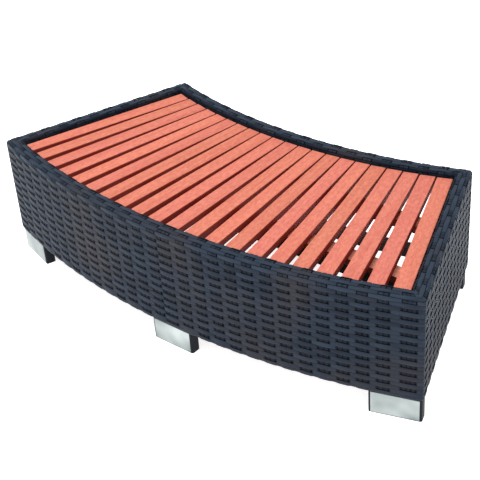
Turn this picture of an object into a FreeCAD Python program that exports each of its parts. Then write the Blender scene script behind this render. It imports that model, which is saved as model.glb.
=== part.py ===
import FreeCAD, Part
import math
import os
import Sketcher
from FreeCAD import Vector

# A curved spa step. A welded frame of square steel tube, arched in plan, carries a woven
# resin skin on its front and ends. A slatted wood deck drops into the rim and rests on two
# bearers. Six block feet hold the frame clear of the floor. The hollow side faces the tub.
#
# Row frame: +X along the step, -Y towards the user, +Y towards the tub, +Z up, with the
# origin on the floor under the middle of the plan. All sizes are in millimetres.

DIMENSIONS = {
    "length": 920,            # across the two outer corners
    "depth": 448,             # from the crown of the front to the back corners
    "height": 240,
    "outer_radius": 1420,     # front face, in plan
    "inner_radius": 1026,     # hollow back face, in plan
    "skin": 4,                # thickness of the woven skin
    "tube": 20,               # side of the square steel tube
    "tube_wall": 1.2,
    "foot_height": 44,        # floor to the lower edge of the skin
    "corner_ease": 1,         # play left where a straight end meets the arched front
    "deck_drop": 9,           # rim top down to the deck top
    "deck_play": 2,           # clearance between the deck and the rim
    "slat_width": 28,
    "slat_thickness": 12,
    "slat_edge_radius": 1.5,
    "batten_width": 28,
    "batten_thickness": 12,
    "batten_inset": 8,        # batten end in from the outer edge of the last slat
    "front_batten_y": -81,
    "rear_batten_y": 57,
    "front_bearer_y": -85,
    "rear_bearer_y": 75,
    "foot_width": 88,
    "foot_corner_radius": 3,
    "foot_angle": 17,         # outer feet, turned from the middle about the arch centre
    "rear_foot_angle": 16,
    "plate_width": 80,
    "plate_height": 41,
    "plate_thickness": 1,
    "plate_edge": 0.4,        # chamfer round the outer face of a foot plate
    "wood_screw_length": 20,
    "wood_screw_radius": 1.75,
    "wood_screw_head_radius": 3.5,
    "wood_screw_head_height": 2,
    "foot_screw_radius": 2.5,
    "foot_screw_head_radius": 4.5,
    "foot_screw_head_height": 3,
    "foot_screw_depth": 20,   # counterbore in the underside of a foot
    "foot_screw_reach": 6,    # thread standing up inside the bottom rail
    "foot_screw_spacing": 56,
}

# Values worked out from the driving dimensions, each bound to them by its expression.
LAYOUT = {
    "arch_y": "Dims.outer_radius - Dims.depth / 2",
    "corner_y": "Layout.arch_y - sqrt(Dims.outer_radius ^ 2 - (Dims.length / 2) ^ 2)",
    "back_corner_x": "sqrt(Dims.inner_radius ^ 2 - (Layout.arch_y - Dims.depth / 2) ^ 2)",
    "end_run_x": "Dims.length / 2 - Layout.back_corner_x",
    "end_run_y": "Dims.depth / 2 - Layout.corner_y",
    "end_length": "sqrt(Layout.end_run_x ^ 2 + Layout.end_run_y ^ 2)",
    "end_angle": "atan(Layout.end_run_x / Layout.end_run_y) / 1deg",
    "end_offset": "(Layout.arch_y - Layout.corner_y) * sin(Layout.end_angle * 1deg)"
                  " - Dims.length / 2 * cos(Layout.end_angle * 1deg)",
    "rim_width": "2 * Dims.skin + Dims.tube",
    "deck_edge": "Layout.rim_width + Dims.deck_play",
    "deck_top": "Dims.height - Dims.deck_drop",
    "deck_bottom": "Layout.deck_top - Dims.slat_thickness",
    "deck_outer": "Dims.outer_radius - Layout.deck_edge",
    "deck_inner": "Dims.inner_radius + Layout.deck_edge",
    "fan_y": "Layout.corner_y + Dims.length / 2 / tan(Layout.end_angle * 1deg)"
             " - (Layout.deck_edge + Dims.slat_width / 2) / sin(Layout.end_angle * 1deg)",
    "fan_offset": "Layout.arch_y - Layout.fan_y",
    "bottom_rail_z": "Dims.foot_height + Dims.skin",
    "top_rail_z": "Dims.height - Dims.skin - Dims.tube",
    "rim_bottom": "Layout.top_rail_z",
    "post_z": "Layout.bottom_rail_z + Dims.tube",
    "bearer_top": "Layout.deck_bottom - Dims.batten_thickness",
    "bearer_z": "Layout.bearer_top - Dims.tube",
    "crossbar_z": "Layout.bearer_z - Dims.tube",
    "foot_face": "Dims.outer_radius - Dims.skin",
    "rear_foot_face": "Dims.inner_radius + Dims.skin",
}

SLAT_COUNT = 21
SUBPARTS = []


def make_sheet(doc):
    sheet = doc.addObject("Spreadsheet::Sheet", "Dims")
    for row, (alias, value) in enumerate(DIMENSIONS.items(), start=1):
        sheet.set(f"A{row}", alias)
        sheet.set(f"B{row}", str(value))
        sheet.setAlias(f"B{row}", alias)
    doc.recompute()
    return sheet


def make_layout(doc):
    layout = doc.addObject("App::VarSet", "Layout")
    for name in LAYOUT:
        layout.addProperty("App::PropertyFloat", name, "Layout")
    for name, expression in LAYOUT.items():
        layout.setExpression(name, expression)
    doc.recompute()
    return layout


def keep(shape_object, name):
    """Name a finished sub-part and put it on the list of files to write."""
    shape_object.Label = name
    SUBPARTS.append(shape_object)
    return shape_object


# ---- sketches and bodies -------------------------------------------------------------

def new_body(doc, name):
    return doc.addObject("PartDesign::Body", name + "_body")


def sketch_on(body, role, offset="0"):
    """A sketch on one of the body's own origin planes, moved along its normal by offset."""
    plane = next(item for item in body.Origin.OriginFeatures if item.Role == role)
    sketch = body.newObject("Sketcher::SketchObject", body.Name + "_sketch")
    sketch.AttachmentSupport = (plane, [""])
    sketch.MapMode = "FlatFace"
    if offset != "0":
        sketch.setExpression("AttachmentOffset.Base.z", offset)
    return sketch


def bind_vertex(sketch, line, x, y):
    """Tie a line's start point to its two coordinates, each an expression."""
    for kind, expression in (("DistanceX", x), ("DistanceY", y)):
        start = sketch.Geometry[line].StartPoint
        datum = start.x if kind == "DistanceX" else start.y
        index = sketch.addConstraint(Sketcher.Constraint(kind, -1, 1, line, 1, datum))
        sketch.setExpression(f"Constraints[{index}]", expression)


def outline(doc, sketch, points):
    """A closed outline of straight edges through points given as pairs of expressions."""
    seats = [Vector(evaluate(doc, x), evaluate(doc, y), 0) for x, y in points]
    first = sketch.GeometryCount
    count = len(seats)
    for index in range(count):
        end = seats[(index + 1) % count]
        sketch.addGeometry(Part.LineSegment(seats[index], end), False)
    for index in range(count):
        follower = first + (index + 1) % count
        sketch.addConstraint(Sketcher.Constraint("Coincident", first + index, 2, follower, 1))
    for index, (x, y) in enumerate(points):
        bind_vertex(sketch, first + index, x, y)


def evaluate(doc, expression):
    """The present value of an expression in the sheet's terms, to seat a sketch point."""
    return float(doc.getObject("Layout").evalExpression(expression))


def rectangle(x0, y0, x1, y1):
    return [(x0, y0), (x1, y0), (x1, y1), (x0, y1)]


def tube_section(x, y):
    """Outer and inner squares of the steel tube, with its low corner at (x, y)."""
    outer = rectangle(x, y, f"{x} + Dims.tube", f"{y} + Dims.tube")
    wall = "Dims.tube_wall"
    far = "Dims.tube - Dims.tube_wall"
    inner = rectangle(f"{x} + {wall}", f"{y} + {wall}", f"{x} + {far}", f"{y} + {far}")
    return [outer, inner]


def sweep(body, outlines, half_angle):
    """Turn a section, drawn as (-radius, z), about the arch centre, evenly to both sides."""
    sketch = sketch_on(body, "YZ_Plane")
    for points in outlines:
        outline(body.Document, sketch, points)
    arc = body.newObject("PartDesign::Revolution", body.Name + "_sweep")
    arc.Profile = sketch
    arc.ReferenceAxis = (sketch, ["V_Axis"])
    arc.Midplane = True
    arc.setExpression("Angle", f"2 * ({half_angle})")


def revolve(doc, name, outlines, half_angle):
    body = new_body(doc, name)
    sweep(body, outlines, half_angle)
    body.setExpression("Placement.Base.y", "Layout.arch_y")
    return body


def pad(doc, body, role, outlines, size, start="0", midplane=False):
    sketch = sketch_on(body, role, start)
    for points in outlines:
        outline(doc, sketch, points)
    feature = body.newObject("PartDesign::Pad", body.Name + "_pad")
    feature.Profile = sketch
    feature.Midplane = midplane
    feature.setExpression("Length", size)
    return feature


def to_right_end(body):
    """Place a body at the right end: local X runs back along the end, local Y runs inwards."""
    body.setExpression("Placement.Base.x", "Dims.length / 2")
    body.setExpression("Placement.Base.y", "Layout.corner_y")
    body.setExpression("Placement.Rotation.Angle", "90deg + Layout.end_angle * 1deg")
    return body


def mirror_to_left(doc, source, name):
    mirror = doc.addObject("Part::Mirroring", name + "_mirror")
    mirror.Source = source
    mirror.Base = Vector(0, 0, 0)
    mirror.Normal = Vector(1, 0, 0)
    return mirror


def cut(doc, base, tool, name):
    """Take the tool out of the base, as a drilled hole does."""
    feature = doc.addObject("Part::Cut", name + "_cut")
    feature.Base = base
    feature.Tool = tool
    return feature


def vertical_edges(shape):
    """Names of the straight edges that run along Z."""
    names = []
    for index, edge in enumerate(shape.Edges, start=1):
        ends = [vertex.Point for vertex in edge.Vertexes]
        if len(ends) == 2 and (ends[1] - ends[0]).cross(Vector(0, 0, 1)).Length < 1e-6:
            names.append(f"Edge{index}")
    return names


# ---- steel frame ---------------------------------------------------------------------

def arc_end(offset, radius):
    """Half angle of an arc that stops at a distance in from the straight end."""
    return f"Layout.end_angle * 1deg - asin(({offset} + Layout.end_offset) / ({radius}))"


def arched_rails(doc):
    """Front and back rails, at the top and at the bottom."""
    rails = {}
    faces = {
        "front": "Dims.outer_radius - Dims.skin",
        "back": "Dims.inner_radius + Dims.skin + Dims.tube",
    }
    for level, z in (("top", "Layout.top_rail_z"), ("bottom", "Layout.bottom_rail_z")):
        for side, face in faces.items():
            name = f"{level}_rail_{side}"
            stop = arc_end("Dims.skin + Dims.tube", f"{face} - Dims.tube")
            rails[name] = revolve(doc, name, tube_section(f"-({face})", z), stop)
    return rails


def end_rails(doc):
    """Straight rails of the right end: top, bottom, and the ledge that holds the bearers."""
    clear = "Dims.skin + Dims.corner_ease"
    full = f"Layout.end_length - Dims.skin - ({clear})"
    inside = f"{full} - 2 * Dims.tube"
    rows = {
        "top_rail": ("Layout.top_rail_z", clear, full),
        "bottom_rail": ("Layout.bottom_rail_z", clear, full),
        "ledge_rail": ("Layout.bearer_z", f"{clear} + Dims.tube", inside),
    }
    rails = {}
    for name, (z, start, size) in rows.items():
        body = new_body(doc, name + "_right")
        pad(doc, body, "YZ_Plane", tube_section("Dims.skin", z), size, start)
        rails[name] = to_right_end(body)
    return rails


def corner_posts(doc):
    """Upright tubes of the right end, between the top and bottom rails."""
    places = {
        "corner_post_front": "Dims.skin + Dims.corner_ease",
        "corner_post_back": "Layout.end_length - Dims.skin - Dims.tube",
    }
    posts = {}
    for name, x in places.items():
        body = new_body(doc, name + "_right")
        rise = "Layout.top_rail_z - Layout.post_z"
        pad(doc, body, "XY_Plane", tube_section(x, "Dims.skin"), rise, "Layout.post_z")
        posts[name] = to_right_end(body)
    return posts


def mid_posts(doc):
    """Upright tubes in the middle of the front and of the back."""
    faces = {
        "mid_post_front": "Layout.arch_y - Dims.outer_radius + Dims.skin + Dims.corner_ease",
        "mid_post_back": "Layout.arch_y - Dims.inner_radius - Dims.skin - Dims.tube",
    }
    for name, y in faces.items():
        body = new_body(doc, name)
        rise = "Layout.top_rail_z - Layout.post_z"
        pad(doc, body, "XY_Plane", tube_section("-Dims.tube / 2", y), rise, "Layout.post_z")
        keep(body, name)


def end_face_x(y, inset):
    """X of a line parallel to the right end and inset from it, at a given Y."""
    tilt = "Layout.end_angle * 1deg"
    return (f"Dims.length / 2 - ({inset}) / cos({tilt})"
            f" - ({y} - Layout.corner_y) * tan({tilt})")


def bearer(doc, name, middle):
    """A straight tube across the step, with its ends cut to the slant of the ledge rails."""
    front = f"{middle} - Dims.tube / 2"
    back = f"{middle} + Dims.tube / 2"
    inset = "Dims.skin + Dims.tube"
    plan = [
        (f"-({end_face_x(front, inset)})", front),
        (end_face_x(front, inset), front),
        (end_face_x(back, inset), back),
        (f"-({end_face_x(back, inset)})", back),
    ]
    body = new_body(doc, name)
    pad(doc, body, "XY_Plane", [plan], "Dims.tube", "Layout.bearer_z")
    bore = sketch_on(body, "YZ_Plane")
    outline(doc, bore, tube_section(front, "Layout.bearer_z")[1])
    pocket = body.newObject("PartDesign::Pocket", name + "_bore")
    pocket.Profile = bore
    pocket.Type = "ThroughAll"
    pocket.Midplane = True
    keep(body, name)


def crossbar(doc):
    """The tube that ties the two mid posts and props the bearers."""
    front = "Layout.arch_y - Dims.outer_radius + Dims.skin + Dims.corner_ease + Dims.tube"
    back = "Layout.arch_y - Dims.inner_radius - Dims.skin - Dims.tube"
    body = new_body(doc, "centre_crossbar")
    section = tube_section("-Dims.tube / 2", "Layout.crossbar_z")
    feature = pad(doc, body, "XZ_Plane", section, f"({back}) - ({front})", f"-({front})")
    feature.Reversed = True
    keep(body, "centre_crossbar")


# ---- woven skin ----------------------------------------------------------------------

def arched_skins(doc):
    """The front wall with its rim and lower lip, and the wrap over the back rail."""
    t = "Dims.skin"
    outer = "Dims.outer_radius"
    inner = "Dims.inner_radius"
    low = "Dims.foot_height"
    top = "Dims.height"
    rim = "Layout.rim_width"
    front = [
        (f"-({outer})", low),
        (f"-({outer} - {t} - Dims.tube)", low),
        (f"-({outer} - {t} - Dims.tube)", f"{low} + {t}"),
        (f"-({outer} - {t})", f"{low} + {t}"),
        (f"-({outer} - {t})", f"{top} - {t}"),
        (f"-({outer} - {rim})", f"{top} - {t}"),
        (f"-({outer} - {rim})", top),
        (f"-({outer})", top),
    ]
    back = [
        (f"-({inner})", top),
        (f"-({inner} + {rim})", top),
        (f"-({inner} + {rim})", f"{top} - {t}"),
        (f"-({inner} + {t})", f"{top} - {t}"),
        (f"-({inner} + {t})", "Layout.rim_bottom"),
        (f"-({inner})", "Layout.rim_bottom"),
    ]
    skins = {
        "weave_front": revolve(doc, "weave_front", [front], arc_end(t, f"{outer} - {rim}")),
        "rim_wrap_back": revolve(doc, "rim_wrap_back", [back], arc_end(t, inner)),
    }
    add_drop(skins["weave_front"], f"{outer} - {rim}", f"{outer} - {rim} + {t}")
    add_drop(skins["rim_wrap_back"], f"{inner} + {rim} - {t}", f"{inner} + {rim}")
    return skins


def add_drop(body, near, far):
    """The stretch of skin that hangs down beside the deck, as far as the end rails."""
    height = "Dims.height - Dims.skin / 2"
    outlines = [rectangle(f"-({far})", "Layout.rim_bottom", f"-({near})", height)]
    sweep(body, outlines, arc_end("Dims.skin + Dims.tube", near))


def end_skin(doc):
    """The right end: a full wall, its rim and lower lip, and a return round the back post."""
    t = "Dims.skin"
    low = "Dims.foot_height"
    top = "Dims.height"
    rim = "Layout.rim_width"
    body = new_body(doc, "weave_right")
    pad(doc, body, "YZ_Plane", [rectangle("0", low, t, top)], "Layout.end_length")
    hook = [
        (f"{t} / 2", f"{top} - {t}"),
        (f"{rim} - {t}", f"{top} - {t}"),
        (f"{rim} - {t}", "Layout.rim_bottom"),
        (rim, "Layout.rim_bottom"),
        (rim, top),
        (f"{t} / 2", top),
    ]
    start = f"{rim} + Dims.corner_ease"
    pad(doc, body, "YZ_Plane", [hook], f"Layout.end_length - {rim} - ({start})", start)
    lip = rectangle(f"{t} / 2", low, f"{t} + Dims.tube", f"{low} + {t}")
    pad(doc, body, "YZ_Plane", [lip], f"Layout.end_length - ({start})", start)
    turn = rectangle(f"{t} / 2", low, f"{t} + Dims.tube", "Layout.rim_bottom")
    pad(doc, body, "YZ_Plane", [turn], t, f"Layout.end_length - {t}")
    return to_right_end(body)


# ---- deck ----------------------------------------------------------------------------

def slat_blank(doc, name, step):
    """One slat of the fan, drawn along its own line from the fan centre."""
    turn = f"({step}) * Layout.end_angle * 1deg / {SLAT_COUNT // 2}"
    sideways = f"Layout.fan_offset * sin({turn})"
    along = f"Layout.fan_offset * cos({turn})"
    outer = f"-(sqrt(Layout.deck_outer ^ 2 - ({sideways}) ^ 2) - {along})"
    inner = f"-(sqrt(Layout.deck_inner ^ 2 - ({sideways}) ^ 2) - {along})"
    half = "Dims.slat_width / 2"
    body = new_body(doc, name)
    plan = rectangle(f"-{half}", outer, half, inner)
    board = pad(doc, body, "XY_Plane", [plan], "Dims.slat_thickness", "Layout.deck_bottom")
    doc.recompute()
    top = board.Shape.BoundBox.ZMax
    long_edges = []
    for index, edge in enumerate(board.Shape.Edges, start=1):
        box = edge.BoundBox
        if box.ZMin > top - 1e-6 and box.YLength > box.XLength:
            long_edges.append(f"Edge{index}")
    easing = body.newObject("PartDesign::Fillet", name + "_easing")
    easing.Base = (board, long_edges)
    easing.setExpression("Radius", "Dims.slat_edge_radius")
    body.setExpression("Placement.Base.y", "Layout.fan_y")
    body.setExpression("Placement.Rotation.Angle", turn)
    return body


def batten_blank(doc, name, middle):
    """A straight board under the slats, across the whole deck."""
    front = f"{middle} - Dims.batten_width / 2"
    back = f"{middle} + Dims.batten_width / 2"
    reach = end_face_x(back, "Layout.deck_edge + Dims.batten_inset")
    body = new_body(doc, name)
    plan = rectangle(f"-({reach})", front, reach, back)
    pad(doc, body, "XY_Plane", [plan], "Dims.batten_thickness", "Layout.bearer_top")
    return body


def wood_screw(sheet):
    """A countersunk screw standing point up on the origin."""
    head_height = sheet.wood_screw_head_height
    head = Part.makeCone(sheet.wood_screw_head_radius, sheet.wood_screw_radius, head_height)
    rise = sheet.wood_screw_length - head_height
    shank = Part.makeCylinder(sheet.wood_screw_radius, rise, Vector(0, 0, head_height))
    return head.fuse(shank).removeSplitter()


def slat_screws(doc, sheet, layout):
    """Two screws a slat, driven up through the battens."""
    screws = []
    for step in slat_steps():
        turn = math.radians(step * layout.end_angle / (SLAT_COUNT // 2))
        for middle in (sheet.front_batten_y, sheet.rear_batten_y):
            screw = wood_screw(sheet)
            x = (layout.fan_y - middle) * math.tan(turn)
            screw.translate(Vector(x, middle, layout.bearer_top))
            screws.append(screw)
    group = doc.addObject("Part::Feature", "slat_screws")
    group.Shape = Part.makeCompound(screws)
    return keep(group, "slat_screws")


def slat_steps():
    """Places in the fan, from the left end to the right, with 0 in the middle."""
    middle = SLAT_COUNT // 2
    return range(-middle, middle + 1)


def deck(doc, sheet, layout):
    screws = slat_screws(doc, sheet, layout)
    for number, step in enumerate(slat_steps(), start=1):
        name = f"slat_{number:02d}"
        keep(cut(doc, slat_blank(doc, name, step), screws, name), name)
    for name, middle in (("front_batten", "Dims.front_batten_y"),
                         ("rear_batten", "Dims.rear_batten_y")):
        keep(cut(doc, batten_blank(doc, name, middle), screws, name), name)


# ---- feet ----------------------------------------------------------------------------

# Each foot: name, its angle about the arch centre, the radius of its face, and whether
# that face looks outwards (1, front) or inwards to the tub (-1, back).
FEET = [
    ("front_left", "-Dims.foot_angle", "Layout.foot_face", 1),
    ("front_centre", "0", "Layout.foot_face", 1),
    ("front_right", "Dims.foot_angle", "Layout.foot_face", 1),
    ("back_left", "-Dims.rear_foot_angle", "Layout.rear_foot_face", -1),
    ("back_centre", "0", "Layout.rear_foot_face", -1),
    ("back_right", "Dims.rear_foot_angle", "Layout.rear_foot_face", -1),
]


def to_foot(body, angle, face, side):
    """Turn a foot piece about the arch centre. Local -Y looks out of the object."""
    turn = f"({angle}) * 1deg"
    body.setExpression("Placement.Base.x", f"{face} * sin({turn})")
    body.setExpression("Placement.Base.y", f"Layout.arch_y - {face} * cos({turn})")
    half_turn = "0deg" if side > 0 else "180deg"
    body.setExpression("Placement.Rotation.Angle", f"{turn} + {half_turn}")
    return body


def foot_block(doc, name, angle, face, side):
    body = new_body(doc, name)
    half = "Dims.foot_width / 2"
    plan = rectangle(f"-{half}", "Dims.plate_thickness", half, "Dims.tube")
    block = pad(doc, body, "XY_Plane", [plan], "Dims.foot_height")
    doc.recompute()
    rounding = body.newObject("PartDesign::Fillet", name + "_rounding")
    rounding.Base = (block, vertical_edges(block.Shape))
    rounding.setExpression("Radius", "Dims.foot_corner_radius")
    return to_foot(body, angle, face, side)


def foot_plate(doc, name, angle, face, side):
    body = new_body(doc, name)
    half = "Dims.plate_width / 2"
    low = "(Dims.foot_height - Dims.plate_height) / 2"
    front = rectangle(f"-{half}", low, half, f"{low} + Dims.plate_height")
    sheet_metal = pad(doc, body, "XZ_Plane", [front], "Dims.plate_thickness",
                      "-Dims.plate_thickness")
    doc.recompute()
    face_y = sheet_metal.Shape.BoundBox.YMin
    rim = []
    for index, edge in enumerate(sheet_metal.Shape.Edges, start=1):
        if edge.BoundBox.YMax < face_y + 1e-6:
            rim.append(f"Edge{index}")
    bevel = body.newObject("PartDesign::Chamfer", name + "_bevel")
    bevel.Base = (sheet_metal, rim)
    bevel.setExpression("Size", "Dims.plate_edge")
    return to_foot(body, angle, face, side)


def foot_screw(sheet, layout):
    """A pan head in its counterbore, and a shank up through skin and rail wall."""
    seat = sheet.foot_screw_depth
    head = Part.makeCylinder(sheet.foot_screw_head_radius, sheet.foot_screw_head_height,
                             Vector(0, 0, seat - sheet.foot_screw_head_height))
    tip = layout.bottom_rail_z + sheet.foot_screw_reach
    shank = Part.makeCylinder(sheet.foot_screw_radius, tip - seat, Vector(0, 0, seat))
    return head.fuse(shank).removeSplitter()


def foot_screw_places(doc, sheet, layout):
    """Two screws a foot, under the middle of its rail."""
    places = []
    for _, angle, face, side in FEET:
        turn = math.radians(evaluate(doc, angle))
        radius = evaluate(doc, face) - side * sheet.tube / 2
        middle = Vector(radius * math.sin(turn), layout.arch_y - radius * math.cos(turn), 0)
        for sign in (-1, 1):
            along = sign * sheet.foot_screw_spacing / 2
            places.append(middle + Vector(math.cos(turn), math.sin(turn), 0) * along)
    return places


def screw_group(doc, places, shape, name):
    copies = []
    for place in places:
        copy = shape.copy()
        copy.translate(place)
        copies.append(copy)
    group = doc.addObject("Part::Feature", name)
    group.Shape = Part.makeCompound(copies)
    return group


def feet(doc, drill):
    for place, angle, face, side in FEET:
        name = f"foot_{place}"
        keep(cut(doc, foot_block(doc, name, angle, face, side), drill, name), name)
        name = f"foot_plate_{place}"
        keep(foot_plate(doc, name, angle, face, side), name)


# ---- assembly ------------------------------------------------------------------------

def build(doc):
    sheet = make_sheet(doc)
    layout = make_layout(doc)

    places = foot_screw_places(doc, sheet, layout)
    screw = foot_screw(sheet, layout)
    keep(screw_group(doc, places, screw, "foot_screws"), "foot_screws")
    bore = Part.makeCylinder(sheet.foot_screw_head_radius, sheet.foot_screw_depth)
    drill = screw_group(doc, places, screw.fuse(bore).removeSplitter(), "foot_drill")

    drilled_arcs = ("bottom_rail_front", "bottom_rail_back", "weave_front")
    for name, body in {**arched_rails(doc), **arched_skins(doc)}.items():
        keep(cut(doc, body, drill, name) if name in drilled_arcs else body, name)

    drilled_ends = ("bottom_rail", "weave")
    for name, body in {**end_rails(doc), **corner_posts(doc), "weave": end_skin(doc)}.items():
        right = cut(doc, body, drill, name + "_right") if name in drilled_ends else body
        keep(right, name + "_right")
        keep(mirror_to_left(doc, right, name), name + "_left")

    mid_posts(doc)
    bearer(doc, "front_bearer", "Dims.front_bearer_y")
    bearer(doc, "rear_bearer", "Dims.rear_bearer_y")
    crossbar(doc)
    deck(doc, sheet, layout)
    feet(doc, drill)
    doc.recompute()


def check(doc):
    for item in doc.Objects:
        faults = [state for state in item.State if state in ("Invalid", "Error")]
        if faults:
            raise RuntimeError(f"{item.Label} failed: {faults}")
    for item in SUBPARTS:
        if item.Shape.isNull() or not item.Shape.isValid():
            raise RuntimeError(f"{item.Label} has no valid shape")
        if not item.Shape.Solids:
            raise RuntimeError(f"{item.Label} has no solid")


def write_parts():
    os.makedirs("parts", exist_ok=True)
    for item in SUBPARTS:
        item.Shape.exportStep(f"parts/{item.Label}.step")
        solids = item.Shape.Solids
        volume = sum(solid.Volume for solid in solids)
        print(f"{item.Label}: {len(solids)} solid(s), {volume / 1000:.1f} cm3")


document = FreeCAD.newDocument("spa_step")
build(document)
check(document)
write_parts()
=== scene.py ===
import math
import random

import bpy
import numpy as np
from mathutils import Euler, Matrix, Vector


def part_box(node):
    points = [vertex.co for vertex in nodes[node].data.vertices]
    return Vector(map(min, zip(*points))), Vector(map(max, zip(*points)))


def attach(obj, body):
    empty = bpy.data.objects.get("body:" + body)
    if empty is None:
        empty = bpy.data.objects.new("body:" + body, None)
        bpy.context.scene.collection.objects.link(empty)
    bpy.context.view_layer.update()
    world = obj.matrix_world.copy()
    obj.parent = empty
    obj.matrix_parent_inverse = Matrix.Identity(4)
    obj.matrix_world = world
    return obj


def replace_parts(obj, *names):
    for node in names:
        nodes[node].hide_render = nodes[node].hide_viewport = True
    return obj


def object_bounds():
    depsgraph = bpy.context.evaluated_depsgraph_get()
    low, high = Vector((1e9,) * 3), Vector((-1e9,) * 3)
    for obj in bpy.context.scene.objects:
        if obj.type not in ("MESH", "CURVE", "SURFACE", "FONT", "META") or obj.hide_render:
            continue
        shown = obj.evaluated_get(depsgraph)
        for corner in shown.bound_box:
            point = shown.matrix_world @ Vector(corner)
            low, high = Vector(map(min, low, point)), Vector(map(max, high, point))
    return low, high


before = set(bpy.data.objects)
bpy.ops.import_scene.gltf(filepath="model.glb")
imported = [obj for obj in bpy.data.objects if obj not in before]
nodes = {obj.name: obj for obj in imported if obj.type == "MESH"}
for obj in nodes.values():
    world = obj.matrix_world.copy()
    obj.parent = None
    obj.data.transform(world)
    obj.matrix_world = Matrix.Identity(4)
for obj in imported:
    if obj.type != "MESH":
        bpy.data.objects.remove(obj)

cad_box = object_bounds()
rng = random.Random(7)

# A curved spa step. The frame, deck, battens, feet, plates and screws stay CAD nodes and get
# materials. The woven skins are built here, strand by strand, in the place of the CAD skins.

# ---- the outline, in metres: the driving sizes of the part, and places read off its nodes ----

OUTER_RADIUS = 1.420
INNER_RADIUS = 1.026
RIM_WIDTH = 0.028
TUBE = 0.020
SKIN = 0.004

HALF_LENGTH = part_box("weave_right")[1].x
FRONT_Y = cad_box[0].y
BACK_Y = cad_box[1].y
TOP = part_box("weave_front")[1].z
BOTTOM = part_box("weave_front")[0].z
RIM_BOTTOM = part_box("rim_wrap_back")[0].z
CENTRE_Y = FRONT_Y + OUTER_RADIUS

front_corner = (HALF_LENGTH, CENTRE_Y - math.sqrt(OUTER_RADIUS**2 - HALF_LENGTH**2))
back_corner = (math.sqrt(INNER_RADIUS**2 - (CENTRE_Y - BACK_Y) ** 2), BACK_Y)
END_ANGLE = math.atan2(front_corner[0] - back_corner[0], back_corner[1] - front_corner[1])
END_NORMAL = (math.cos(END_ANGLE), math.sin(END_ANGLE))
END_ALONG = (-math.sin(END_ANGLE), math.cos(END_ANGLE))
END_OFFSET = END_NORMAL[0] * front_corner[0] + END_NORMAL[1] * (front_corner[1] - CENTRE_Y)

# ---- the weave: strands run along the step in rows, over and under upright stakes ----

ROW_PITCH = 0.00768
STRAND_WIDTH = 0.0084
RIM_STRAND_WIDTH = 0.0072
STRAND_THICKNESS = 0.0013
STRAND_SPREAD = 0.05            # share by which a strand widens where it bulges over a stake
STRAND_TUCK = 7.0               # width gained per depth where a strand dives under a stake
TUCKED_WIDTH = 2 * ROW_PITCH + 0.0003       # meets the next tucked strand, two rows on
STAKE_WIDTH = 0.0080
STAKE_COVER = 0.97              # share of its place that a stake's strand fills
STAKE_THICKNESS = 0.0009
STAKE_START_MARGIN = 0.001      # a stake's first place is at least this far up the section
STAKE_STOP_MARGIN = 0.0005      # and its last place this far short of the section's end

# Levels of the middle of a strand, outwards from the outer face of the CAD skin.
FLUSH_LEVEL = -0.00155
OVER_LEVEL = -0.00075
UNDER_LEVEL = -0.00360
RIM_UNDER_LEVEL = -0.00330
STAKE_LEVEL = -0.00215
RIM_STAKE_LEVEL = -0.00080

# How a strand dives beside a stake, and how it turns in behind a back corner post.
FACE_DIVE = 0.0050
RIM_DIVE = 0.0021
DIVE_MIDDLE = 0.45              # share of the dive, from the stake out, where it is half way
LEVEL_MARGIN = 0.0003           # in from the edge of a stake to where the strand is level
STATION_GAP = 0.0008            # least distance between two places along a strand
HOOK_STEP = 0.006

# How far the hand work strays.
STRAND_STRAY = 0.0001
STRAND_WAVE = 60.0              # radians of its wave per metre
WAVE_START = 6.28               # the wave starts anywhere in this, about one turn
WIDTH_SHARES = (0.99, 1.02)
STAKE_STRAY = 0.0008
STAKE_LEAN = 0.0004

# Shifts of tint that are painted light: a painted highlight on the rim top, paler where the light
# falls, and painted shade on the drop inside it, darker. The grain of each strand is
# shifted along it too, so that no two look the same.
RIM_PAINTED_HIGHLIGHT = 1.1
DROP_PAINTED_SHADE = -2.0
GRAIN_SHIFT = 10.0

# Upright corners. Sides are squeezed near them, to leave room for the rounding.
CORNER_ROUND = 0.006
TIGHTEST_ROUND = 0.0015
SQUEEZE = 0.050                 # length of the squeezed part of a side
CORNER_STEPS = 3

# Spacing of the places along a strand, for its grain, where it is upright or on a corner.
RING_STEP = 0.0038

# The sides of the step, and the rounded corners between them, in order round the plan.
FRONT, RIGHT, BACK, LEFT = range(4)
FRONT_RIGHT, RIGHT_BACK, BACK_LEFT, LEFT_FRONT = range(4, 8)


def front_limit(inset):
    """Half angle of the bowed face where it meets the end, both moved in by the inset."""
    return END_ANGLE + np.arcsin((END_OFFSET - inset) / (OUTER_RADIUS - inset))


def back_limit(inset):
    return END_ANGLE + np.arcsin((END_OFFSET - inset) / (INNER_RADIUS + inset))


def end_start(inset):
    """Where the end begins along its own line, which is measured from the arch centre."""
    return -(OUTER_RADIUS - inset) * np.cos(front_limit(inset) - END_ANGLE)


def end_stop(inset):
    return -(INNER_RADIUS + inset) * np.cos(back_limit(inset) - END_ANGLE)


FRONT_HALF = float(OUTER_RADIUS * front_limit(0.0))
BACK_HALF = float(INNER_RADIUS * back_limit(0.0))
END_LENGTH = float(end_stop(0.0) - end_start(0.0))


def squeeze(u, whole, limit):
    """Moves places near the end of a side so that they fill what the corner leaves of it."""
    start = whole - SQUEEZE
    size = np.abs(u)
    moved = start + (size - start) * (limit - start) / SQUEEZE
    return np.sign(u) * np.where(size > start, moved, size)


def on_arc(angle, radius):
    return np.sin(angle) * radius, CENTRE_Y - np.cos(angle) * radius


def on_front(u, inset):
    limit = OUTER_RADIUS * front_limit(pivot(inset))
    return on_arc(squeeze(u, FRONT_HALF, limit) / OUTER_RADIUS, OUTER_RADIUS - inset)


def on_back(u, inset):
    limit = INNER_RADIUS * back_limit(pivot(inset))
    return on_arc(squeeze(u, BACK_HALF, limit) / INNER_RADIUS, INNER_RADIUS + inset)


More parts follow.
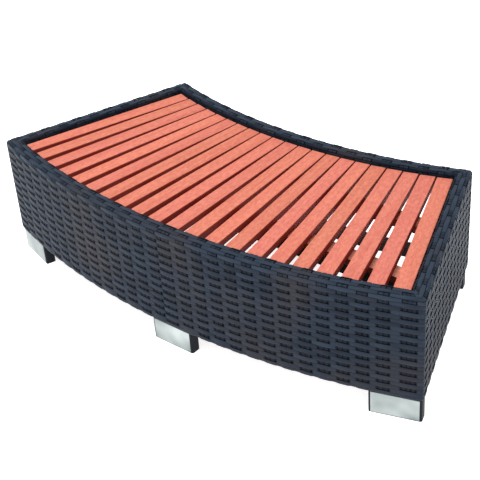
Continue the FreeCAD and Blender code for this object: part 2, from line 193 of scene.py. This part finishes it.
def pivot(inset):
    """How far in the centre of a rounded corner lies."""
    return np.maximum(CORNER_ROUND, inset + TIGHTEST_ROUND)


def on_end(u, inset):
    """The right end: u runs from the front corner to the back one."""
    low = end_start(pivot(inset)) - end_start(0.0)
    high = end_stop(pivot(inset)) - end_start(0.0)
    near = low + u * (SQUEEZE - low) / SQUEEZE
    far = END_LENGTH - SQUEEZE + (u - END_LENGTH + SQUEEZE) * (high - END_LENGTH + SQUEEZE) / SQUEEZE
    u = np.where(u < SQUEEZE, near, np.where(u > END_LENGTH - SQUEEZE, far, u))
    along = end_start(0.0) + u
    across = END_OFFSET - inset
    x = END_NORMAL[0] * across + END_ALONG[0] * along
    y = CENTRE_Y + END_NORMAL[1] * across + END_ALONG[1] * along
    return x, y


def on_corner(part, inset, at_front):
    """A rounded right-hand corner: part runs from 0 at its first side to 1 at its second."""
    centre = pivot(inset)
    if at_front:
        middle = front_limit(centre)
        x, y = on_arc(middle, OUTER_RADIUS - centre)
        first = middle - math.pi / 2
        second = END_ANGLE
    else:
        middle = back_limit(centre)
        x, y = on_arc(middle, INNER_RADIUS + centre)
        first = END_ANGLE
        second = middle + math.pi / 2
    turn = first + (second - first) * part
    radius = centre - inset
    return x + radius * np.cos(turn), y + radius * np.sin(turn)


def plan(side, u, inset):
    """Plan position of points given by side, place along it and distance in from the face."""
    shapes = {
        FRONT: on_front,
        RIGHT: on_end,
        BACK: lambda u, d: on_back(-u, d),
        LEFT: lambda u, d: on_end(END_LENGTH - u, d),
        FRONT_RIGHT: lambda part, d: on_corner(part, d, True),
        RIGHT_BACK: lambda part, d: on_corner(part, d, False),
        BACK_LEFT: lambda part, d: on_corner(1.0 - part, d, False),
        LEFT_FRONT: lambda part, d: on_corner(1.0 - part, d, True),
    }
    x = np.zeros_like(u)
    y = np.zeros_like(u)
    for which, shape in shapes.items():
        mask = side == which
        if mask.any():
            px, py = shape(u[mask], inset[mask])
            x[mask] = -px if which in (LEFT, BACK_LEFT, LEFT_FRONT) else px
            y[mask] = py
    return x, y


# The section of the woven skin: from under the bottom rail, up the face, over the rim and
# down beside the deck. Each step is (kind, size): a straight run or a quarter turn.
LIP_ROUND = 0.004
OUTER_ROUND = 0.008
INNER_ROUND = 0.006
LIP = SKIN + TUBE - LIP_ROUND
FACE = TOP - BOTTOM - LIP_ROUND - OUTER_ROUND
LEDGE = RIM_WIDTH - OUTER_ROUND - INNER_ROUND
DROP = TOP - INNER_ROUND - RIM_BOTTOM
SECTION = (
    ("run", LIP),
    ("turn", LIP_ROUND),
    ("run", FACE),
    ("turn", OUTER_ROUND),
    ("run", LEDGE),
    ("turn", INNER_ROUND),
    ("run", DROP),
)
SECTION_START = (SKIN + TUBE, BOTTOM)


def section_length(steps):
    return sum(size if kind == "run" else size * math.pi / 2 for kind, size in steps)


SECTION_END = section_length(SECTION)
FACE_START = section_length(SECTION[:1]) + LIP_ROUND * math.pi / 4
DROP_START = section_length(SECTION[:5]) + INNER_ROUND * math.pi / 4
RIM_START = section_length(SECTION[:2]) + (RIM_BOTTOM - BOTTOM - LIP_ROUND)

# Rows are counted up from the lower edge of the face. Those below 0 lie on the lip.
ROW_SLACK = 0.1
ROW_FIRST = -3
BORDER_ROW = 0                  # passes over every stake
RIM_ROW = math.ceil((RIM_START - FACE_START) / ROW_PITCH - ROW_SLACK)
ROW_LAST = int((SECTION_END - FACE_START) / ROW_PITCH - 0.5 - ROW_SLACK)


def section(v, h):
    """Inset and height of points at length v along the section, raised by h off the skin."""
    inset = np.full_like(v, SECTION_START[0])
    z = np.full_like(v, SECTION_START[1])
    at = np.array(SECTION_START)
    heading = np.array((-1.0, 0.0))
    start = 0.0
    for i, (kind, size) in enumerate(SECTION):
        length = section_length(SECTION[i:i + 1])
        out = np.array((-heading[1], heading[0]))
        mask = np.ones(len(v), bool)
        if i > 0:
            mask &= v >= start
        if i < len(SECTION) - 1:
            mask &= v <= start + length
        local = v[mask] - start
        if kind == "run":
            inset[mask] = at[0] + heading[0] * local + out[0] * h[mask]
            z[mask] = at[1] + heading[1] * local + out[1] * h[mask]
            at = at + heading * length
        else:
            hub = at - out * size
            angle = local / size
            radius = size + h[mask]
            inset[mask] = hub[0] + radius * (out[0] * np.cos(angle) + heading[0] * np.sin(angle))
            z[mask] = hub[1] + radius * (out[1] * np.cos(angle) + heading[1] * np.sin(angle))
            at = hub + heading * size
            heading = -out
        start += length
    return inset, z


# Section of a strand, as shares of its width and its thickness.
STRAND_OUTLINE = (
    (-0.50, 0.00),
    (-0.42, 0.38),
    (-0.18, 0.50),
    (0.18, 0.50),
    (0.42, 0.38),
    (0.50, 0.00),
    (0.40, -0.42),
    (-0.40, -0.42),
)


class Weaving:
    """Gathers flat strands and turns them into one mesh."""

    def __init__(self):
        self.side = []
        self.u = []
        self.v = []
        self.h = []
        self.tone_and_painted_light = []
        self.depth = []
        self.strand = []
        self.faces = []
        self.count = 0

    def add(self, rings, thickness, upright=False, paler=0.0):
        """Adds a strand, which runs along u, or along v when upright.

        rings: (side, u, v, h, width) of each place along it, where u is the place along the
        side, v the place up the section and h the height off the skin.
        """
        # The tint holds a random tone per strand plus the painted light shift: a painted highlight on
        # the rim top, painted shade on the drop.
        tone_and_painted_light = rng.random() + paler
        shift = rng.random() * GRAIN_SHIFT
        ring_size = len(STRAND_OUTLINE)
        length = 0.0
        for i, (side, u, v, h, width) in enumerate(rings):
            measured = side <= LEFT and not upright
            if i:
                length += abs(u - rings[i - 1][1]) if measured else RING_STEP
            # How far the strand sinks below the flush level; the material turns this into painted
            # shade in the recesses behind stakes and neighbours.
            depth = (FLUSH_LEVEL - h) / (FLUSH_LEVEL - UNDER_LEVEL)
            for across, up in STRAND_OUTLINE:
                offset = across * width
                self.side.append(side)
                self.u.append(u + offset if upright else u)
                self.v.append(v if upright else v + offset)
                self.h.append(h + up * thickness)
                self.tone_and_painted_light.append(tone_and_painted_light)
                self.depth.append(min(1.0, max(0.0, depth)))
                self.strand.append((length + shift, across))
        first = self.count
        self.count += len(rings) * ring_size
        for i in range(len(rings) - 1):
            low = first + i * ring_size
            for j in range(ring_size):
                k = (j + 1) % ring_size
                quad = (low + j, low + ring_size + j, low + ring_size + k, low + k)
                self.faces.append(quad[::-1] if upright else quad)
        last = first + (len(rings) - 1) * ring_size
        start_cap = tuple(range(first, first + ring_size))
        stop_cap = tuple(range(last, last + ring_size))[::-1]
        self.faces.extend(cap[::-1] if upright else cap for cap in (start_cap, stop_cap))

    def finish(self, name, material):
        """The mesh of all strands, with their tint and painted light shift, their depth for painted
        shade, and lengthwise coordinates.
        """
        v = np.array(self.v)
        inset, z = section(v, np.array(self.h))
        x, y = plan(np.array(self.side), np.array(self.u), inset)
        mesh = bpy.data.meshes.new(name)
        mesh.from_pydata(np.stack((x, y, z), 1).tolist(), [], self.faces)
        for label, values in (("tone_and_painted_light", self.tone_and_painted_light), ("depth", self.depth)):
            mesh.attributes.new(label, "FLOAT", "POINT").data.foreach_set("value", values)
        layer = mesh.uv_layers.new(name="strand")
        index = np.zeros(len(mesh.loops), int)
        mesh.loops.foreach_get("vertex_index", index)
        layer.data.foreach_set("uv", np.array(self.strand)[index].ravel())
        mesh.polygons.foreach_set("use_smooth", [True] * len(mesh.polygons))
        mesh.materials.append(material)
        mesh.update()
        piece = bpy.data.objects.new(name, mesh)
        bpy.context.scene.collection.objects.link(piece)
        return piece


def even(first, last, count):
    return [first + (last - first) * i / (count - 1) for i in range(count)]


# Stakes of each side: (place along the side, number of strands side by side). Places count from
# the middle of the front and the back, and from a corner on the ends.
END_STAKE_MARGIN = 0.016
BACK_STAKE_MARGIN = 0.014
LEFT_STAKES = [(u, 2) for u in even(-0.413, -0.020, 13)]
RIGHT_STAKES = [(u, 2) for u in even(0.0445, 0.403, 12)]
FRONT_STAKES = [(-0.446, 3)] + LEFT_STAKES + [(0.0075, 3)] + RIGHT_STAKES + [(0.446, 3)]
END_STAKES = [(u, 2) for u in even(END_STAKE_MARGIN, END_LENGTH - END_STAKE_MARGIN, 12)]
BACK_REACH = BACK_HALF - BACK_STAKE_MARGIN
BACK_STAKES = [(u, 2) for u in even(-BACK_REACH, BACK_REACH, 20)]


def stake_run(side, stakes, first):
    """Stakes with their running number, whose parity sets what goes over and what goes under."""
    run = []
    for i, (u, count) in enumerate(stakes):
        run.append((side, u + rng.uniform(-STAKE_STRAY, STAKE_STRAY), count, first + i))
    return run


front_run = stake_run(FRONT, FRONT_STAKES, 0)
right_run = stake_run(RIGHT, END_STAKES, len(FRONT_STAKES))
back_run = stake_run(BACK, BACK_STAKES, len(FRONT_STAKES) + len(END_STAKES))
left_run = stake_run(LEFT, END_STAKES, -len(END_STAKES))


def goes_over(row, number):
    return (row + number) % 2 == 0


def over_stakes(run, row):
    """Stations (side, u, level) of one strand along the stakes of one side of the step."""
    on_face = 0 <= row < RIM_ROW
    dive = FACE_DIVE if on_face else RIM_DIVE
    under = UNDER_LEVEL if on_face else RIM_UNDER_LEVEL
    stations = []
    for side, u, count, number in run:
        half = count * STAKE_WIDTH / 2
        level = OVER_LEVEL if goes_over(row, number) else under
        if row == BORDER_ROW:
            level = OVER_LEVEL
        middle = (level + FLUSH_LEVEL) / 2
        for offset, height in (
            (-half - dive, FLUSH_LEVEL),
            (-half - dive * DIVE_MIDDLE, middle),
            (-half + LEVEL_MARGIN, level),
            (0.0, level),
            (half - LEVEL_MARGIN, level),
            (half + dive * DIVE_MIDDLE, middle),
            (half + dive, FLUSH_LEVEL),
        ):
            if not stations or u + offset > stations[-1][1] + STATION_GAP:
                stations.append((side, u + offset, height))
    return stations


def corner_stations(corner, first, last):
    """Stations on a rounded corner, from one fraction of it to another."""
    stations = []
    for i in range(CORNER_STEPS + 1):
        stations.append((corner, first + (last - first) * i / CORNER_STEPS, FLUSH_LEVEL))
    return stations


def half_row(run, row, before, after):
    """A strand along one side, with half of the rounded corner before it and after it."""
    entry = corner_stations(before, 0.5, 1.0)
    leave = corner_stations(after, 0.0, 0.5)
    return entry + over_stakes(run, row) + leave


def hook_stations(direction):
    """Stations on the tub side, where an end's strands turn in behind the corner post."""
    places = (SKIN, SKIN + HOOK_STEP, SKIN + 2 * HOOK_STEP, SKIN + TUBE)
    levels = (FLUSH_LEVEL, OVER_LEVEL, FLUSH_LEVEL, UNDER_LEVEL)
    hook = [(BACK, direction * (BACK_HALF - place), level) for place, level in zip(places, levels)]
    return hook if direction < 0 else hook[::-1]


def row_place(row):
    """Place of the middle of a row along the section."""
    return FACE_START + (row + 0.5) * ROW_PITCH


def strand_width(width, level):
    """A strand spreads where it bulges over a stake and where it is tucked in behind others."""
    if level > FLUSH_LEVEL:
        return width * (1.0 + STRAND_SPREAD * (level - FLUSH_LEVEL) / (OVER_LEVEL - FLUSH_LEVEL))
    return min(TUCKED_WIDTH, width + STRAND_TUCK * (FLUSH_LEVEL - level))


def lay_row(weaving, stations, row):
    """One strand, a little uneven as hand weaving is."""
    v = row_place(row)
    on_rim = row > RIM_ROW
    phase = rng.random() * WAVE_START
    width = (RIM_STRAND_WIDTH if on_rim else STRAND_WIDTH) * rng.uniform(*WIDTH_SHARES)
    drift = rng.uniform(-STRAND_STRAY, STRAND_STRAY)
    rings = []
    for side, u, level in stations:
        wobble = STRAND_STRAY * math.sin(u * STRAND_WAVE + phase) + drift
        rings.append((side, u, v + wobble, level, strand_width(width, level)))
    # Painted light on the rim rows: a painted highlight on the rim top, painted shade on the drop
    # beside the deck.
    paler = 0.0
    if on_rim:
        paler = RIM_PAINTED_HIGHLIGHT if v < DROP_START else DROP_PAINTED_SHADE
    weaving.add(rings, STRAND_THICKNESS, paler=paler)


def lay_stake(weaving, side, u, count, number, first_row, last_row):
    """The strands of one stake, side by side, from the first row to the last."""
    for i in range(count):
        place = u + (i - (count - 1) / 2) * STAKE_WIDTH
        lean = rng.uniform(-STAKE_LEAN, STAKE_LEAN)
        rings = []
        for step in range(2 * first_row - 1, 2 * last_row + 2):
            row = step / 2
            v = row_place(row)
            if v < STAKE_START_MARGIN or v > SECTION_END - STAKE_STOP_MARGIN:
                continue
            rim_share = min(1.0, max(0.0, (v - RIM_START - ROW_PITCH) / ROW_PITCH))
            level = STAKE_LEVEL
            if step % 2 == 0 and not goes_over(row, number):
                level += (RIM_STAKE_LEVEL - STAKE_LEVEL) * rim_share
            rings.append((side, place + lean * math.sin(row), v, level, STAKE_WIDTH * STAKE_COVER))
        weaving.add(rings, STAKE_THICKNESS, upright=True)


# ---- materials ----

def node_material(name):
    """A material with its shader, and helpers to add and link nodes."""
    material = bpy.data.materials.new(name)
    material.use_nodes = True
    tree = material.node_tree
    shader = tree.nodes["Principled BSDF"]

    def add(kind, **settings):
        node = tree.nodes.new(kind)
        for key, value in settings.items():
            if key in node.inputs:
                node.inputs[key].default_value = value
            else:
                setattr(node, key, value)
        return node

    return material, shader, add, tree.links.new


def ramp(add, link, source, stops):
    """Colour that follows a source, by stops of (position, colour)."""
    node = add("ShaderNodeValToRGB")
    elements = node.color_ramp.elements
    while len(elements) < len(stops):
        elements.new(0.5)
    for element, (position, colour) in zip(elements, stops):
        element.position = position
        element.color = (*colour, 1.0)
    link(source, node.inputs["Fac"])
    return node.outputs["Color"]


def mapped(add, link, source, scale, turn=0.0, move=(0.0, 0.0, 0.0)):
    node = add("ShaderNodeMapping", Scale=scale, Rotation=(0.0, 0.0, turn), Location=move)
    link(source, node.inputs["Vector"])
    return node.outputs["Vector"]


def noise(add, link, place, **settings):
    """Noise over the given coordinates."""
    node = add("ShaderNodeTexNoise", **settings)
    link(place, node.inputs["Vector"])
    return node.outputs["Fac"]


# Sockets of a mix of two colours.
MIX_FACTOR = 0
MIX_FIRST = 6
MIX_SECOND = 7
MIX_RESULT = 2


def mixed(add, link, kind, factor, first, second):
    """Mixes two colours. Each argument is a socket or a plain value."""
    node = add("ShaderNodeMix", data_type="RGBA", blend_type=kind)
    for key, value in ((MIX_FACTOR, factor), (MIX_FIRST, first), (MIX_SECOND, second)):
        if isinstance(value, bpy.types.NodeSocket):
            link(value, node.inputs[key])
        else:
            node.inputs[key].default_value = value if key == MIX_FACTOR else (*value, 1.0)
    return node.outputs[MIX_RESULT]


def add_roughness(add, link, shader, source, low, high):
    rough = add("ShaderNodeMapRange")
    rough.inputs["To Min"].default_value = low
    rough.inputs["To Max"].default_value = high
    link(source, rough.inputs["Value"])
    link(rough.outputs["Result"], shader.inputs["Roughness"])


def add_bump(add, link, shader, height, strength, distance):
    bump = add("ShaderNodeBump", Strength=strength, Distance=distance)
    link(height, bump.inputs["Height"])
    link(bump.outputs["Normal"], shader.inputs["Normal"])


def resin_strand(name, dark, light, warm):
    """Extruded resin strand: fine lines along it, uneven tint from strand to strand, and painted shade
    where it sinks below the flush level.
    """
    material, shader, add, link = node_material(name)
    uv = add("ShaderNodeUVMap", uv_map="strand").outputs["UV"]
    lines = noise(add, link, mapped(add, link, uv, (60.0, 9.0, 1.0)), Scale=1.0, Detail=2.0)
    patches = noise(add, link, mapped(add, link, uv, (25.0, 0.6, 1.0)), Scale=1.0, Detail=1.0)
    # This attribute holds each strand's random tint plus the painted highlight on the rim top and the
    # painted shade on the drop.
    tone_and_painted_light = add("ShaderNodeAttribute", attribute_name="tone_and_painted_light").outputs["Fac"]
    half = add("ShaderNodeMath", operation="MULTIPLY_ADD")
    link(tone_and_painted_light, half.inputs[0])
    half.inputs[1].default_value = 0.45
    half.inputs[2].default_value = -0.2
    blend = add("ShaderNodeMath", operation="MULTIPLY_ADD")
    link(patches, blend.inputs[0])
    blend.inputs[1].default_value = 0.9
    link(half.outputs[0], blend.inputs[2])
    tint = ramp(add, link, blend.outputs[0], ((0.0, dark), (1.0, light)))
    place = add("ShaderNodeTexCoord").outputs["Object"]
    cloud = noise(add, link, place, Scale=7.0, Detail=2.0)
    spread = ramp(add, link, cloud, ((0.48, (0.0, 0.0, 0.0)), (0.72, (0.7, 0.7, 0.7))))
    colour = mixed(add, link, "MIX", spread, tint, warm)
    # Painted shade: the deeper a strand or stake sits below the flush level, the darker it is painted,
    # for the shade in the weave's recesses.
    depth = add("ShaderNodeAttribute", attribute_name="depth").outputs["Fac"]
    painted_recess_shade = ((0.0, (1.0, 1.0, 1.0)), (0.35, (0.35, 0.35, 0.35)), (1.0, (0.2, 0.2, 0.2)))
    colour = mixed(add, link, "MULTIPLY", 1.0, colour, ramp(add, link, depth, painted_recess_shade))
    link(colour, shader.inputs["Base Color"])
    shader.inputs["Specular IOR Level"].default_value = 0.08
    add_roughness(add, link, shader, lines, 0.40, 0.62)
    add_bump(add, link, shader, lines, 0.5, 0.0006)
    return material


def wood(name, angle, top, side, seed):
    """Oiled softwood board: grain along it, with painted shade on its sides, dark and red from light
    bounced between the boards.
    """
    material, shader, add, link = node_material(name)
    place = add("ShaderNodeTexCoord").outputs["Object"]
    shift = (seed * 1.7 % 5.0, seed * 2.3 % 7.0, seed * 0.9 % 3.0)
    along = mapped(add, link, place, (1.0, 1.0, 1.0), turn=-angle)
    stretched = mapped(add, link, along, (90.0, 4.0, 60.0), move=shift)
    grain = noise(add, link, stretched, Scale=1.0, Detail=5.0, Roughness=0.6, Distortion=0.4)
    tiny = mapped(add, link, along, (900.0, 120.0, 600.0), move=shift)
    fine = noise(add, link, tiny, Scale=1.0, Detail=3.0, Roughness=0.7)
    short = mapped(add, link, along, (240.0, 110.0, 200.0), move=shift)
    mottle = noise(add, link, short, Scale=1.0, Detail=2.0)
    darker = tuple(c * f for c, f in zip(top, (0.90, 0.80, 0.78)))
    lighter = tuple(min(1.0, c * f) for c, f in zip(top, (1.03, 1.10, 1.12)))
    bands = ramp(add, link, grain, ((0.30, darker), (0.52, top), (0.75, lighter)))
    pores = ramp(add, link, fine, ((0.35, (0.82, 0.70, 0.68)), (0.60, (1.0, 1.0, 1.0))))
    clouds = ramp(add, link, mottle, ((0.35, (0.86, 0.78, 0.78)), (0.65, (1.05, 1.08, 1.05))))
    colour = mixed(add, link, "MULTIPLY", 0.8, bands, pores)
    colour = mixed(add, link, "MULTIPLY", 0.8, colour, clouds)
    # Painted shade on the sides of a board: as a face turns away from upward, its colour goes over to
    # the dark red side colour, for the shade in the gaps and the red light bounced between boards.
    normal = add("ShaderNodeNewGeometry").outputs["Normal"]
    split = add("ShaderNodeSeparateXYZ")
    link(normal, split.inputs[0])
    upward = add("ShaderNodeMapRange")
    upward.inputs["From Min"].default_value = 0.2
    upward.inputs["From Max"].default_value = 0.85
    link(split.outputs["Z"], upward.inputs["Value"])
    edge = mixed(add, link, "MULTIPLY", 1.0, pores, side)
    colour = mixed(add, link, "MIX", upward.outputs["Result"], edge, colour)
    link(colour, shader.inputs["Base Color"])
    shader.inputs["Specular IOR Level"].default_value = 0.2
    add_roughness(add, link, shader, grain, 0.50, 0.72)
    add_bump(add, link, shader, fine, 0.35, 0.0004)
    return material


def speckled(
    name, dark, light, scale, roughness, bump, metallic=0.0, stretch=(1.0, 1.0, 1.0), specular=0.5
):
    """A plain finish with fine uneven texture: powder coat, moulded plastic or brushed metal."""
    material, shader, add, link = node_material(name)
    shader.inputs["Metallic"].default_value = metallic
    shader.inputs["Specular IOR Level"].default_value = specular
    place = add("ShaderNodeTexCoord").outputs["Object"]
    stretched = mapped(add, link, place, stretch)
    grain = noise(add, link, stretched, Scale=scale, Detail=3.0, Roughness=0.6)
    broad = noise(add, link, place, Scale=14.0, Detail=2.0)
    link(ramp(add, link, broad, ((0.3, dark), (0.7, light))), shader.inputs["Base Color"])
    add_roughness(add, link, shader, grain, *roughness)
    add_bump(add, link, shader, grain, bump, 0.0005)
    return material


RESIN = resin_strand(
    "resin_strand", dark=(0.005, 0.009, 0.017), light=(0.022, 0.033, 0.052), warm=(0.031, 0.028, 0.033)
)
SALMON = (0.585, 0.178, 0.123)
PALE_WOOD = (0.62, 0.26, 0.18)
# Painted shade for the sides of the boards, dark and red from light bounced between them.
WOOD_SIDE_PAINTED_SHADE = (0.24, 0.022, 0.011)
BATTEN_SEED = 30
POWDER_COAT = speckled(
    "powder_coat",
    dark=(0.006, 0.006, 0.007),
    light=(0.011, 0.011, 0.013),
    scale=700.0,
    roughness=(0.45, 0.62),
    bump=0.25,
    specular=0.12,
)
MOULDED = speckled(
    "moulded_plastic",
    dark=(0.004, 0.006, 0.010),
    light=(0.009, 0.011, 0.016),
    scale=900.0,
    roughness=(0.45, 0.60),
    bump=0.20,
    specular=0.10,
)
SATIN_METAL = speckled(
    "satin_metal",
    dark=(0.10, 0.125, 0.125),
    light=(0.42, 0.46, 0.455),
    scale=60.0,
    roughness=(0.30, 0.48),
    bump=0.12,
    metallic=1.0,
    stretch=(1.0, 1.0, 30.0),
)
ZINC = speckled(
    "zinc_plate",
    dark=(0.50, 0.50, 0.51),
    light=(0.62, 0.62, 0.63),
    scale=400.0,
    roughness=(0.28, 0.42),
    bump=0.10,
    metallic=1.0,
)

# ---- the woven pieces ----


def woven(name, fill):
    weaving = Weaving()
    fill(weaving)
    piece = weaving.finish(name, RESIN)
    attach(piece, "shell")
    return piece


def fill_front(weaving):
    for row in range(ROW_FIRST, ROW_LAST + 1):
        lay_row(weaving, half_row(front_run, row, LEFT_FRONT, FRONT_RIGHT), row)
    for side, u, count, number in front_run:
        lay_stake(weaving, side, u, count, number, ROW_FIRST, ROW_LAST)


def hooked_row(run, row, before, after):
    """A strand along an end, from half way round a front corner to behind a back post."""
    if before == FRONT_RIGHT:
        entry = corner_stations(before, 0.5, 1.0)
        leave = corner_stations(after, 0.0, 1.0) + hook_stations(-1)
    else:
        entry = hook_stations(1) + corner_stations(before, 0.0, 1.0)
        leave = corner_stations(after, 0.0, 0.5)
    return entry + over_stakes(run, row) + leave


def fill_end(run, before, after):
    """An end. Between the lip and the rim its strands turn in behind the back corner post."""
    def fill(weaving):
        for row in range(ROW_FIRST, ROW_LAST + 1):
            shape = hooked_row if 0 <= row < RIM_ROW else half_row
            lay_row(weaving, shape(run, row, before, after), row)
        for side, u, count, number in run:
            lay_stake(weaving, side, u, count, number, ROW_FIRST, ROW_LAST)
    return fill


def fill_back(weaving):
    for row in range(RIM_ROW, ROW_LAST + 1):
        lay_row(weaving, half_row(back_run, row, RIGHT_BACK, BACK_LEFT), row)
    for side, u, count, number in back_run:
        lay_stake(weaving, side, u, count, number, RIM_ROW, ROW_LAST)


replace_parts(woven("woven_front", fill_front), "weave_front")
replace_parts(woven("woven_right_end", fill_end(right_run, FRONT_RIGHT, RIGHT_BACK)), "weave_right")
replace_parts(woven("woven_left_end", fill_end(left_run, BACK_LEFT, LEFT_FRONT)), "weave_left")
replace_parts(woven("woven_back_rim", fill_back), "rim_wrap_back")

# ---- finishes of the CAD nodes ----


def finish_node(name, material):
    slots = nodes[name].data.materials
    slots.clear()
    slots.append(material)


slat_names = sorted(name for name in nodes if name.startswith("slat_") and name != "slat_screws")
middle_slat = len(slat_names) // 2
FAN_STEP = 2 * END_ANGLE / (len(slat_names) - 1)
for i, name in enumerate(slat_names):
    shade = rng.uniform(0.94, 1.04)
    pink = rng.uniform(-0.03, 0.04)
    top = (SALMON[0] * shade, SALMON[1] * shade * (1.0 - pink), SALMON[2] * shade * (1.0 + pink))
    finish_node(name, wood("wood_" + name, (i - middle_slat) * FAN_STEP, top, WOOD_SIDE_PAINTED_SHADE, i))
for i, name in enumerate(("front_batten", "rear_batten")):
    finish_node(name, wood("wood_" + name, math.pi / 2, PALE_WOOD, WOOD_SIDE_PAINTED_SHADE, BATTEN_SEED + i))

for name in nodes:
    if name.startswith("foot_plate"):
        finish_node(name, SATIN_METAL)
    elif name.endswith("_screws"):
        finish_node(name, ZINC)
    elif name.startswith("foot_"):
        finish_node(name, MOULDED)
    elif "rail" in name or "post" in name or "bearer" in name or "crossbar" in name:
        finish_node(name, POWDER_COAT)

# ---- floor, light and camera ----

FLOOR_SIZE = 30.0
FLOOR_SHADE = 0.92
FLOOR_GLOW = 0.75               # keeps the ground white, with a faint shadow

# The camera's place in metres, its turns in degrees, and its lens and film in millimetres.
CAMERA_PLACE = (1.1679, -1.3567, 1.2851)
CAMERA_ANGLES = (56.389, 3.729, 38.726)
CAMERA_LENS = 88.74
CAMERA_FILM = 36.0


def pale_floor():
    half = FLOOR_SIZE / 2
    mesh = bpy.data.meshes.new("floor")
    corners = [(-half, -half, 0.0), (half, -half, 0.0), (half, half, 0.0), (-half, half, 0.0)]
    mesh.from_pydata(corners, [], [(0, 1, 2, 3)])
    material, shader, _, _ = node_material("pale_floor")
    shader.inputs["Base Color"].default_value = (FLOOR_SHADE, FLOOR_SHADE, FLOOR_SHADE, 1.0)
    shader.inputs["Roughness"].default_value = 0.9
    shader.inputs["Emission Color"].default_value = (1.0, 1.0, 1.0, 1.0)
    shader.inputs["Emission Strength"].default_value = FLOOR_GLOW
    mesh.materials.append(material)
    floor = bpy.data.objects.new("floor", mesh)
    bpy.context.scene.collection.objects.link(floor)


def soft_lamp(name, place, size, power):
    """A round lamp, turned towards the object."""
    lamp = bpy.data.lights.new(name, "AREA")
    lamp.shape = "DISK"
    lamp.size = size
    lamp.energy = power
    holder = bpy.data.objects.new(name, lamp)
    holder.location = place
    holder.rotation_euler = (-holder.location).to_track_quat("-Z", "Y").to_euler()
    bpy.context.scene.collection.objects.link(holder)


def sky(strength):
    world = bpy.data.worlds.new("studio")
    bpy.context.scene.world = world
    world.use_nodes = True
    background = world.node_tree.nodes["Background"]
    background.inputs["Color"].default_value = (1.0, 1.0, 1.0, 1.0)
    background.inputs["Strength"].default_value = strength


def camera():
    data = bpy.data.cameras.new("camera")
    data.lens = CAMERA_LENS
    data.sensor_width = CAMERA_FILM
    holder = bpy.data.objects.new("camera", data)
    holder.location = CAMERA_PLACE
    holder.rotation_euler = Euler([math.radians(a) for a in CAMERA_ANGLES])
    bpy.context.scene.collection.objects.link(holder)
    bpy.context.scene.camera = holder


pale_floor()
sky(strength=0.90)
soft_lamp("key_lamp", place=(-0.9, -1.0, 3.1), size=1.6, power=85.0)
soft_lamp("fill_lamp", place=(2.4, -0.6, 1.8), size=1.6, power=8.0)
camera()
bpy.context.scene.view_settings.view_transform = "Standard"
